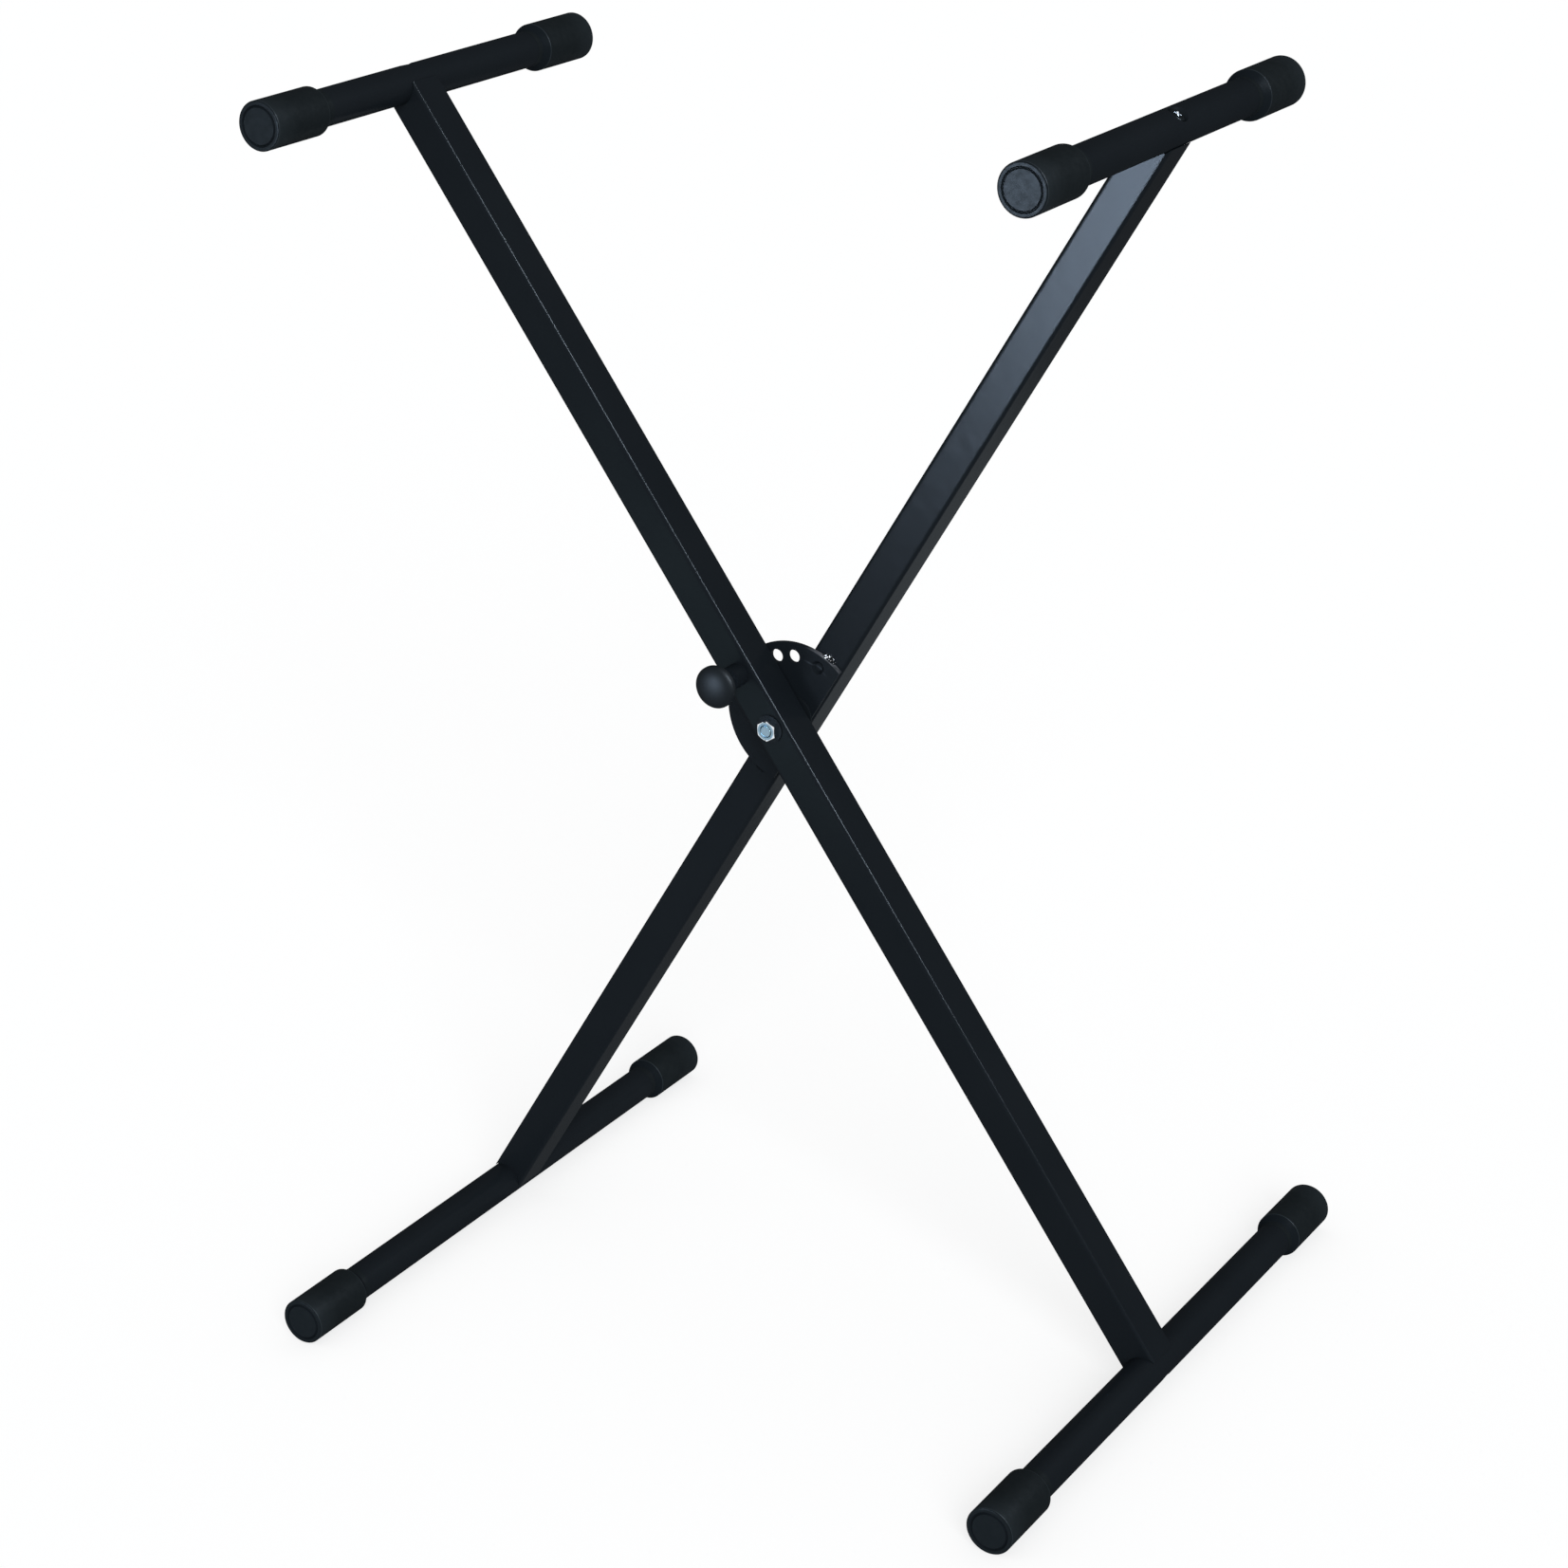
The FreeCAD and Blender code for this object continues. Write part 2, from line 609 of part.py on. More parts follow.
def make_pin(tip_place):
    label = "lock_pin"
    pin = new_body(label)
    tip, nose, shaft = "sizes.pin_tip / 2", "sizes.pin_nose / 2", "sizes.pin_shaft / 2"
    shoulder = "sizes.pin_tip_length + sizes.pin_nose_length"
    reach = ("sizes.legs_gap - sizes.plate_thickness - sizes.pin_clear + sizes.leg_depth"
             " + sizes.knob_standoff - sizes.knob_back + sizes.pin_knob_grip")
    revolve(pin, [
        (0, 0), (tip, 0), (nose, "sizes.pin_tip_length"), (nose, shoulder), (shaft, shoulder), (shaft, reach),
        (0, reach)])
    finish(pin, label, lock_place(tip_place))


def make_knob():
    label = "lock_knob"
    rim = cylinder(label + "_rim", "sizes.knob_diameter", "sizes.knob_rim", "sizes.knob_back")
    dome = half_ellipsoid(label + "_dome", "sizes.knob_dome", 0, QUARTER_TURN)
    bind(dome, Placement__Base__z="sizes.knob_back + sizes.knob_rim")
    underside = half_ellipsoid(label + "_underside", "sizes.knob_back", -QUARTER_TURN, 0)
    bind(underside, Placement__Base__z="sizes.knob_back")
    neck = cylinder(label + "_neck", "sizes.knob_neck", "sizes.knob_back")
    solid = doc.addObject("Part::MultiFuse", label + "_solid")
    solid.Shapes = [dome, rim, underside, neck]
    socket = cylinder(label + "_socket", "sizes.pin_shaft + 2 * sizes.seat_clearance",
                      "sizes.pin_knob_grip + sizes.overrun", "-sizes.overrun")
    knob = combine("Cut", label, solid, socket)
    finish(knob, label, lock_place(leg_front - value("sizes.knob_standoff - sizes.knob_back")))


# Lock spring: an open coil on the pin's shaft, between the pin's shoulder and the bush's front wall.
def make_spring(shoulder):
    label = "lock_spring"
    wire = size("spring_wire")
    coil_radius = value("(sizes.pin_shaft + sizes.pin_nose) / 4")
    front_wall = leg_front - value("sizes.bush_boss_length - sizes.bush_front_wall")
    length = shoulder - front_wall - wire - 2 * size("spring_end_gap")
    quarters = 4 * SPRING_TURNS
    rise = length / quarters

    def on_coil(quarter):
        angle = math.radians(quarter * QUARTER_TURN)
        return Vector(coil_radius * math.cos(angle), coil_radius * math.sin(angle), quarter * rise)

    arcs = [Part.Arc(on_coil(k), on_coil(k + 1 / 2), on_coil(k + 1)).toShape() for k in range(quarters)]
    first = arcs[0]
    heading = first.tangentAt(first.FirstParameter)
    shell = Part.BRepOffsetAPI.MakePipeShell(Part.Wire(arcs))
    shell.add(Part.Wire([Part.makeCircle(wire / 2, on_coil(0), heading)]))
    shell.build()
    shell.makeSolid()
    print("least gap between the turns of the lock spring", round(4 * rise - wire, 3))
    spring = doc.addObject("Part::Feature", label)
    spring.Shape = shell.shape()
    finish(spring, label, lock_place(shoulder - size("spring_end_gap") - wire / 2))


def make_lock():
    tip_place = plate_front - size("pin_clear")
    make_bush()
    make_pin(tip_place)
    make_knob()
    make_spring(tip_place - value("sizes.pin_tip_length + sizes.pin_nose_length"))


for side in SIDES:
    make_leg(side)
    make_screws(side)
    for level in LEVELS:
        make_rail(side, level)
        make_insert(side, level)
        for end in ENDS:
            make_cap(side, level, end)
make_plate()
make_welds()
make_pivot()
make_lock()
doc.recompute()

faults = [thing.Label for thing in doc.Objects if {"Invalid", "Error"} & set(thing.State)]
faults += [part.Label for part in parts if part.Shape.isNull() or not part.Shape.isValid()]
if faults:
    raise SystemExit("failed: " + ", ".join(faults))

os.makedirs("parts", exist_ok=True)
for part in parts:
    part.Shape.exportStep(f"parts/{part.Label}.step")
print(len(parts), "sub-parts written; fold closes to", round(folded_angle, 3), "degrees between the legs")
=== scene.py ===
import math

import bmesh
import bpy
from mathutils import Matrix, Vector, noise


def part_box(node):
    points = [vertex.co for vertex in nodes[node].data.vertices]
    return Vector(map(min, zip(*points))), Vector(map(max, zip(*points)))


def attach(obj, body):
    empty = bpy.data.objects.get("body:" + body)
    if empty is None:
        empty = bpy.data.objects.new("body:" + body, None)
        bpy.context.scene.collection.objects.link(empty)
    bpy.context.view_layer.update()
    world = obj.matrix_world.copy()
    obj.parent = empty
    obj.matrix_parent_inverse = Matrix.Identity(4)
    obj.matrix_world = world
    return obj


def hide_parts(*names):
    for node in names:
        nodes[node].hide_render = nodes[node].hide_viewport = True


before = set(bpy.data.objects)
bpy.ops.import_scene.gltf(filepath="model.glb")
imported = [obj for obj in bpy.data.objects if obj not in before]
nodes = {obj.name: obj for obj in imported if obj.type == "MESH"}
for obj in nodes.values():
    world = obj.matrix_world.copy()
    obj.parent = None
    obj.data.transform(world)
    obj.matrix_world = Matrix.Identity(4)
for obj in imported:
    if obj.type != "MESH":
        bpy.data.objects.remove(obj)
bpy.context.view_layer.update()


# Places and sizes read from the frame, in metres.
def middle(node):
    low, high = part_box(node)
    return (low + high) / 2


def span(node):
    low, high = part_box(node)
    return high - low


PIVOT = Vector((0, 0, middle("pivot_nut").z))
HEX_FLATS = span("pivot_nut").x
M8_SHARE_OF_FLATS = 8 / 13
BOLT_RADIUS = HEX_FLATS * M8_SHARE_OF_FLATS / 2
PLATE_RADIUS = PIVOT.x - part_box("lock_plate")[0].x
RAIL_RADIUS = span("front_top_rail").x / 2
LEAN = math.atan2(PIVOT.x - middle("front_top_rail").x, middle("front_top_rail").z - PIVOT.z)

# Directions in the part's frame.
UP = Vector((0.0, 0.0, 1.0))
ALONG_RAILS = Vector((0.0, 1.0, 0.0))

# Sizes that repeat those of the part's source, in metres and radians.
CAD_LEG_CORNER = 0.0035
DIMPLE_DEPTH = 0.0032
SCREW_HEAD_RADIUS = 0.0055
WELD_LEG = 0.003
WELD_ANGLE = math.radians(12.0)
CAP_SHOULDER = 0.0095
CAP_END_WALL = 0.0040

# Sizes that only this script gives, in metres and radians.
THREAD_PITCH = 0.00125
THREAD_DEPTH = 0.0006
THREADED_LENGTH = 0.014
SCREW_HEAD_HEIGHT = 0.0021
SCREW_SHANK_RADIUS = 0.0029
SCREW_REACH = 0.036
SCREW_TURN = math.radians(33)
RECESS_LENGTH = 0.0062
RECESS_WIDTH = 0.0013
RECESS_DEPTH = 0.0014
WELD_ROOT = 0.0002
PLATE_EDGE_ROUND = 0.0004
LEG_CORNER = 0.0021
LEG_CORNER_SPARE = math.radians(8)
CAP_EDGE_ROUND = 0.0012
CAP_RING_INSET = 0.0028
CAP_RING_WIDTH = 0.0018
CAP_RING_DEPTH = 0.0009
CAP_RING_DRAFT = 0.00085
CAP_CONE = 0.0045
CAP_SHOULDER_ROUND = 0.0012
CAP_LIP = 0.0001
FIT_GAP = 0.00005

# Shares of the sizes above; a crown's pairs are shares of a screw head's radius and height.
CHAMFER_SHARE = 0.95
RUBBED_SHARE = 0.455
RECESS_TAPER_SHARE = 0.65
CROWN_SHARES = [(0.97, 0.0), (1.0, 0.35), (0.985, 0.52), (0.93, 0.70), (0.83, 0.84), (0.68, 0.94),
                (0.5, 0.985), (0.2, 1.0)]
WELD_END_SHARE = 0.12
WELD_MEAN_SHARE = 0.86
WELD_RIPPLE_SHARE = 0.1
WELD_UNEVEN_SHARE = 0.16

# The form of a weld bead: its ripples, how fast it changes, and powers that fill it out.
WELD_RIPPLES = 7
WELD_UNEVEN_SCALE = 9
WELD_END_POWER = 0.35
WELD_SECTION_POWER = 0.9

# How finely round forms are drawn.
ROUND_SIDES = 96
BOLT_SIDES = 40
SCREW_SIDES = 48
TURN_STEPS = 8
ARC_STEPS = 8
WELD_STEPS = 72
WELD_SIDES = 10
BEVEL_SEGMENTS = 3

# Angles in degrees from which an edge counts as sharp.
HEX_SHARP = 25
SCREW_SHARP = 35
WELD_SHARP = 50
CAP_SHARP = 40
PLATE_SHARP = 40


# Procedural materials. Patterns use object coordinates, which are metres in the part's own frame.
class Surface:
    """A principled material whose nodes are added one at a time."""

    def __init__(self, name, **constants):
        self.material = bpy.data.materials.new(name)
        self.material.use_nodes = True
        self.tree = self.material.node_tree
        self.tree.nodes.clear()
        self.shader = self.add("BsdfPrincipled", **constants)
        output = self.tree.nodes.new("ShaderNodeOutputMaterial")
        self.tree.links.new(self.shader.outputs["BSDF"], output.inputs["Surface"])
        coordinates = self.add("TexCoord")
        self.place = coordinates.outputs["Object"]
        self.normal = coordinates.outputs["Normal"]

    def feed(self, socket, value):
        if isinstance(value, bpy.types.NodeSocket):
            self.tree.links.new(value, socket)
        else:
            socket.default_value = value

    def add(self, kind, **inputs):
        node = self.tree.nodes.new("ShaderNode" + kind)
        for name, value in inputs.items():
            self.feed(node.inputs[name.replace("_", " ")], value)
        return node

    def calculate(self, kind, operation, values):
        node = self.tree.nodes.new("ShaderNode" + kind)
        node.operation = operation
        for socket, value in zip(node.inputs, values):
            self.feed(socket, value)
        return node

    def math(self, operation, *values):
        return self.calculate("Math", operation, values).outputs[0]

    def vector(self, operation, *values):
        outputs = self.calculate("VectorMath", operation, values).outputs
        return outputs["Value" if operation in ("LENGTH", "DOT_PRODUCT") else "Vector"]

    def noise(self, scale, detail=2.0):
        return self.add("TexNoise", Vector=self.place, Scale=scale, Detail=detail).outputs["Fac"]

    def cells(self, scale):
        return self.add("TexVoronoi", Vector=self.place, Scale=scale).outputs["Distance"]

    def ramp(self, value, low, high, start=0.0, end=1.0):
        """Maps a value from low..high to start..end, held at both ends."""
        node = self.add("MapRange", Value=value, From_Min=low, From_Max=high, To_Min=start, To_Max=end)
        return node.outputs["Result"]

    def band(self, value, low, high, soft):
        """1 where a value lies between low and high, 0 elsewhere, with soft ends."""
        rise = self.ramp(value, low - soft, low + soft)
        fall = self.ramp(value, high - soft, high + soft, 1.0, 0.0)
        return self.math("MULTIPLY", rise, fall)

    def blend(self, share, first, second):
        node = self.tree.nodes.new("ShaderNodeMix")
        node.data_type = "RGBA"
        for name, value in (("Factor_Float", share), ("A_Color", first), ("B_Color", second)):
            socket = next(s for s in node.inputs if s.identifier == name)
            self.feed(socket, (*value, 1.0) if isinstance(value, tuple) else value)
        return next(s for s in node.outputs if s.identifier == "Result_Color")

    def colour(self, value):
        self.feed(self.shader.inputs["Base Color"], value)

    def roughness(self, pattern, low, high):
        """Roughness from low to high, by a noise pattern that mostly keeps between 0.3 and 0.7."""
        self.feed(self.shader.inputs["Roughness"], self.ramp(pattern, 0.3, 0.7, low, high))

    def bump(self, height, distance, strength=1.0, coat=False):
        bump = self.add("Bump", Height=height, Distance=distance, Strength=strength)
        self.feed(self.shader.inputs["Normal"], bump.outputs["Normal"])
        if coat:
            self.feed(self.shader.inputs["Coat Normal"], bump.outputs["Normal"])


def powder_coat(name, gloss, gloss_index, gloss_roughness):
    """Satin black powder coat: fine peel over a slow swell, speckle and faint handling marks."""
    clean = (0.0068, 0.0092, 0.0119)
    pale_tone = (0.0080, 0.0106, 0.0135)
    speck = (0.013, 0.016, 0.019)
    surface = Surface(name, Specular_IOR_Level=0.0, Coat_Weight=gloss, Coat_IOR=gloss_index,
                      Coat_Roughness=gloss_roughness)
    peel = surface.noise(scale=900.0, detail=3.0)
    swell = surface.noise(scale=110.0)
    speckle = surface.ramp(surface.cells(scale=1500.0), 0.0, 0.45, 1.0, 0.0)
    patches = surface.ramp(surface.noise(scale=14.0, detail=5.0), 0.35, 0.7)
    colour = surface.blend(patches, clean, pale_tone)
    surface.colour(surface.blend(surface.math("MULTIPLY", speckle, 0.3), colour, speck))
    surface.feed(surface.shader.inputs["Roughness"], surface.ramp(patches, 0.0, 1.0, 0.42, 0.5))
    surface.bump(surface.math("MULTIPLY_ADD", peel, 0.03, swell), distance=0.0001, coat=True)
    return surface


def from_pivot_axis(surface):
    """The distance from the pivot's axis, and the angle round it from straight up towards +X."""
    offset = surface.vector("SUBTRACT", surface.place, tuple(PIVOT))
    flat = surface.vector("MULTIPLY", offset, (1.0, 0.0, 1.0))
    parts = surface.add("SeparateXYZ", Vector=flat)
    angle = surface.math("ARCTAN2", parts.outputs["X"], parts.outputs["Z"])
    return surface.vector("LENGTH", flat), angle


def plate_coat_with_wear_and_highlight():
    """The powder coat of the lock plate, scratched by the pin beside the holes, with a pale band on the upper
    right of its rim: partly thin coat on the edge, partly a painted highlight where the light catches it.
    """
    scratched_coat = (0.035, 0.044, 0.056)
    thin_and_lit_coat = (0.16, 0.17, 0.19)
    scratch_from, scratch_to, scratch_soft = (math.radians(turn) for turn in (16, 39, 3))
    lit_rim_from, lit_rim_to, lit_rim_soft = (math.radians(turn) for turn in (22, 42, 9))
    surface = powder_coat("plate_coat", gloss=0.02, gloss_index=1.6, gloss_roughness=0.25)
    radius, angle = from_pivot_axis(surface)
    lock_arm = middle("lock_bush") - PIVOT
    lock_radius = math.hypot(lock_arm.x, lock_arm.z)
    track = surface.band(radius, lock_radius - 0.0008, lock_radius + 0.0002, soft=0.0004)
    swept = surface.band(angle, scratch_from, scratch_to, scratch_soft)
    broken = surface.ramp(surface.noise(scale=180.0, detail=4.0), 0.25, 0.6)
    scratch = surface.math("MULTIPLY", surface.math("MULTIPLY", track, swept), broken)
    # A pale band on the rim's upper right only: partly thin coat on the edge, partly a painted highlight
    # where the light falls on it.
    rim = surface.ramp(radius, PLATE_RADIUS - 0.0009, PLATE_RADIUS - 0.0003)
    pale_tone = surface.band(angle, lit_rim_from, lit_rim_to, lit_rim_soft)
    thin_and_lit_rim = surface.math("MULTIPLY", surface.math("MULTIPLY", rim, pale_tone), broken)
    base = surface.shader.inputs["Base Color"].links[0].from_socket
    scratched = surface.blend(surface.math("MULTIPLY", scratch, 0.8), base, scratched_coat)
    surface.colour(surface.blend(thin_and_lit_rim, scratched, thin_and_lit_coat))
    return surface


def weld_surface():
    """Weld bead under paint, bare and bright on its crests above the pivot."""
    painted = (0.006, 0.008, 0.010)
    bright = (0.66, 0.64, 0.63)
    surface = Surface("weld_metal", Specular_IOR_Level=0.0, Coat_Weight=0.012, Coat_Roughness=0.3)
    height = surface.add("SeparateXYZ", Vector=surface.place).outputs["Z"]
    above = surface.ramp(height, PIVOT.z, PIVOT.z + WELD_LEG)
    crests = surface.ramp(surface.noise(scale=650.0, detail=4.0), 0.55, 0.62)
    bare = surface.math("MULTIPLY", crests, above)
    spatter = surface.noise(scale=1800.0, detail=3.0)
    surface.colour(surface.blend(bare, painted, bright))
    surface.feed(surface.shader.inputs["Metallic"], bare)
    surface.roughness(spatter, 0.25, 0.45)
    surface.bump(spatter, distance=0.0002, strength=0.6, coat=True)
    return surface


def rubber_surface():
    """Moulded black rubber: a stippled barrel, a smooth dark shoulder, a paler end face, and a painted
    highlight line on the rounded edges.
    """
    dark_barrel = (0.0070, 0.0097, 0.0115)
    pale_barrel = (0.0094, 0.0124, 0.0142)
    edge_highlight_colour = (0.0200, 0.0265, 0.0315)
    shoulder_colour = (0.0068, 0.0094, 0.0120)
    face_colour = (0.0088, 0.0122, 0.0150)
    surface = Surface("cap_rubber", Specular_IOR_Level=0.0, Coat_IOR=1.9, Coat_Roughness=0.38)
    end_on = surface.math("ABSOLUTE", surface.vector("DOT_PRODUCT", surface.normal, tuple(ALONG_RAILS)))
    face = surface.ramp(end_on, 0.85, 0.97)
    # The rounded edges between end face, barrel and shoulder get a paler colour: a painted highlight line.
    edge = surface.band(end_on, 0.06, 0.5, soft=0.04)
    shoulder = surface.band(end_on, 0.56, 0.8, soft=0.03)
    stipple = surface.noise(scale=1100.0)
    barrel = surface.blend(surface.noise(scale=40.0, detail=4.0), dark_barrel, pale_barrel)
    edge_highlighted = surface.blend(edge, barrel, edge_highlight_colour)
    sides = surface.blend(shoulder, edge_highlighted, shoulder_colour)
    surface.colour(surface.blend(face, sides, face_colour))
    surface.roughness(stipple, 0.6, 0.8)
    gloss = surface.ramp(shoulder, 0.0, 1.0, 0.012, 0.003)
    smudges = surface.ramp(surface.noise(scale=240.0, detail=3.0), 0.35, 0.65, 0.72, 1.28)
    surface.feed(surface.shader.inputs["Coat Weight"], surface.math("MULTIPLY", gloss, smudges))
    smooth_share = surface.math("MAXIMUM", face, shoulder)
    relief = surface.math("MULTIPLY", stipple, surface.ramp(smooth_share, 0.0, 1.0, 1.0, 0.25))
    surface.bump(relief, distance=0.00012, strength=0.9, coat=True)
    return surface


def blue_zinc_surface():
    """Bluish passivated zinc of the pivot's nut and bolt, rubbed bright on the chamfers and corners."""
    dark_blue = (0.16, 0.25, 0.31)
    pale_blue = (0.26, 0.36, 0.42)
    bright = (0.80, 0.84, 0.87)
    surface = Surface("blue_zinc", Metallic=1.0)
    radius, _ = from_pivot_axis(surface)
    spangle = surface.noise(scale=900.0, detail=3.0)
    rubbed = surface.ramp(radius, HEX_FLATS * RUBBED_SHARE, HEX_FLATS / 2)
    plating = surface.blend(spangle, dark_blue, pale_blue)
    surface.colour(surface.blend(rubbed, plating, bright))
    surface.roughness(spangle, 0.09, 0.14)
    surface.bump(spangle, distance=0.00003, strength=0.3)
    return surface


def bare_zinc_surface():
    """Bright zinc where a driver has worn the black off a screw's recess."""
    dull = (0.60, 0.63, 0.66)
    bright = (0.85, 0.87, 0.89)
    surface = Surface("bare_zinc", Metallic=1.0)
    grain = surface.noise(scale=1500.0)
    surface.colour(surface.blend(grain, dull, bright))
    surface.roughness(grain, 0.2, 0.35)
    surface.bump(grain, distance=0.00003, strength=0.4)
    return surface


def black_zinc_surface():
    """Black zinc of the rail screws and pivot washers, a little greyer where it is rubbed."""
    black = (0.0050, 0.0068, 0.0084)
    grey = (0.0105, 0.0130, 0.0155)
    surface = Surface("black_zinc", Specular_IOR_Level=0.0, Coat_Weight=0.024, Coat_IOR=1.6,
                      Coat_Roughness=0.3)
    rubbed = surface.ramp(surface.noise(scale=700.0, detail=4.0), 0.5, 0.75)
    grain = surface.noise(scale=1500.0)
    surface.colour(surface.blend(rubbed, black, grey))
    surface.roughness(grain, 0.4, 0.55)
    surface.bump(grain, distance=0.00003, strength=0.3, coat=True)
    return surface


def plastic_surface(name, gloss):
    """Black moulded plastic with a faint grain."""
    dark = (0.0058, 0.0080, 0.0102)
    pale = (0.0076, 0.0100, 0.0122)
    surface = Surface(name, Specular_IOR_Level=0.0, Coat_Weight=gloss, Coat_IOR=1.7, Coat_Roughness=0.5)
    grain = surface.noise(scale=1600.0)
    surface.colour(surface.blend(surface.noise(scale=60.0), dark, pale))
    surface.roughness(grain, 0.4, 0.5)
    surface.bump(grain, distance=0.00003, strength=0.6, coat=True)
    return surface


def steel_surface():
    """Plain drawn steel."""
    dark = (0.3, 0.3, 0.31)
    pale = (0.42, 0.42, 0.43)
    surface = Surface("plain_steel", Metallic=1.0)
    grain = surface.noise(scale=500.0, detail=4.0)
    surface.colour(surface.blend(grain, dark, pale))
    surface.roughness(grain, 0.3, 0.45)
    surface.bump(grain, distance=0.00003, strength=0.4)
    return surface


leg_coat = powder_coat("leg_coat", gloss=0.03, gloss_index=1.5, gloss_roughness=0.23).material
rail_coat = powder_coat("rail_coat", gloss=0.009, gloss_index=2.5, gloss_roughness=0.28).material
plate_coat = plate_coat_with_wear_and_highlight().material
weld_metal = weld_surface().material
cap_rubber = rubber_surface().material
blue_zinc = blue_zinc_surface().material
bare_zinc = bare_zinc_surface().material
black_zinc = black_zinc_surface().material
knob_plastic = plastic_surface("knob_plastic", gloss=0.044).material
spacer_nylon = plastic_surface("spacer_nylon", gloss=0.02).material
plain_steel = steel_surface().material

inner_parts = [name for name in nodes if name.endswith(("_insert", "_sleeve"))]
finishes = {
    leg_coat: [name for name in nodes if name.endswith("_leg")],
    rail_coat: [name for name in nodes if name.endswith("_rail")],
    plate_coat: ["lock_plate", "lock_bush"],
    weld_metal: ["plate_welds"],
    cap_rubber: [name for name in nodes if "_cap_" in name],
    black_zinc: ["front_pivot_washer", "rear_pivot_washer", "front_rail_screws", "rear_rail_screws"],
    blue_zinc: ["pivot_nut", "pivot_bolt"],
    knob_plastic: ["lock_knob"],
    spacer_nylon: ["pivot_spacer"],
    plain_steel: ["lock_pin", "lock_spring", *inner_parts],
}
for material, names in finishes.items():
    for name in names:
        mesh = nodes[name].data
        mesh.materials.clear()
        mesh.materials.append(material)


# Detailed pieces in place of plain CAD nodes.
def add_piece(name, mesh, node, body):
    """Puts a mesh in the scene in place of a CAD node."""
    piece = bpy.data.objects.new(name, mesh)
    bpy.context.scene.collection.objects.link(piece)
    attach(piece, body)
    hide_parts(node)
    return piece


def smooth(mesh, sharp_from):
    """Shades a mesh smooth, apart from edges sharper than an angle in degrees."""
    mesh.shade_smooth()
    mesh.set_sharp_from_angle(angle=math.radians(sharp_from))


def skin(form, rings, place, looped=False):
    """Adds quads between rings of equally many points; the ends are closed, or joined to each other."""
    rows = [[form.verts.new(place @ Vector(point)) for point in ring] for ring in rings]
    pairs = list(zip(rows, rows[1:])) + ([(rows[-1], rows[0])] if looped else [])
    for lower, upper in pairs:
        for k in range(len(lower)):
            after = (k + 1) % len(lower)
            form.faces.new((lower[k], lower[after], upper[after], upper[k]))
    if not looped:
        form.faces.new(rows[0][::-1])
        form.faces.new(rows[-1])


def circle(radius, height, count):
    angles = [2 * math.pi * k / count for k in range(count)]
    return [(radius * math.cos(a), radius * math.sin(a), height) for a in angles]


def to_mesh(name, form, material, sharp_from):
    bmesh.ops.recalc_face_normals(form, faces=form.faces)
    mesh = bpy.data.meshes.new(name)
    form.to_mesh(mesh)
    form.free()
    mesh.materials.append(material)
    smooth(mesh, sharp_from)
    return mesh


def hex_rings(height, chamfer_low):
    """The rings of a chamfered hexagon with a corner along X, from its lower face to its upper one."""
    inner = HEX_FLATS / 2 * CHAMFER_SHARE
    slope = math.tan(math.radians(30))
    sixth = math.pi / 3
    low_ring = []
    high_ring = []
    for k in range(ROUND_SIDES):
        angle = 2 * math.pi * k / ROUND_SIDES
        radius = HEX_FLATS / 2 / math.cos(angle % sixth - sixth / 2)
        drop = max(radius - inner, 0.0) * slope
        x, y = radius * math.cos(angle), radius * math.sin(angle)
        low_ring.append((x, y, drop if chamfer_low else 0.0))
        high_ring.append((x, y, height - drop))
    lower_face = [circle(inner, 0.0, ROUND_SIDES)] if chamfer_low else []
    return lower_face + [low_ring, high_ring, circle(inner, height, ROUND_SIDES)]


def hex_place(y):
    """The place of a hexagon on the pivot axis: Z to the front, a corner up."""
    to_front = Matrix.Rotation(math.pi / 2, 4, "X")
    corner_up = Matrix.Rotation(math.pi / 2, 4, "Z")
    return Matrix.Translation((PIVOT.x, y, PIVOT.z)) @ to_front @ corner_up


def make_nut():
    """The pivot's nut, with a chamfered bore that the bolt's thread shows in."""
    low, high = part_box("pivot_nut")
    height = high.y - low.y
    mouth = BOLT_RADIUS + THREAD_DEPTH
    rings = [circle(BOLT_RADIUS, height / 2, ROUND_SIDES), circle(mouth, 0.0, ROUND_SIDES)]
    rings += hex_rings(height, chamfer_low=True)
    rings += [circle(mouth, height, ROUND_SIDES), circle(BOLT_RADIUS, height - THREAD_DEPTH, ROUND_SIDES)]
    form = bmesh.new()
    skin(form, rings, hex_place(high.y), looped=True)
    mesh = to_mesh("hex_nut", form, blue_zinc, HEX_SHARP)
    add_piece("hex_nut", mesh, "pivot_nut", "front_frame")


def thread_ring(along, turns, start):
    """The points round the bolt at a number of turns along its thread, worn down towards the bolt's end."""
    worn = max(0.0, THREAD_DEPTH - (turns - along) * THREAD_PITCH)
    ring = []
    for k in range(BOLT_SIDES):
        phase = (along - k / BOLT_SIDES) % 1.0
        groove = THREAD_DEPTH * (1.0 - abs(2.0 * phase - 1.0))
        reach = BOLT_RADIUS - max(groove, worn)
        angle = 2 * math.pi * k / BOLT_SIDES
        ring.append((reach * math.cos(angle), reach * math.sin(angle), start + along * THREAD_PITCH))
    return ring


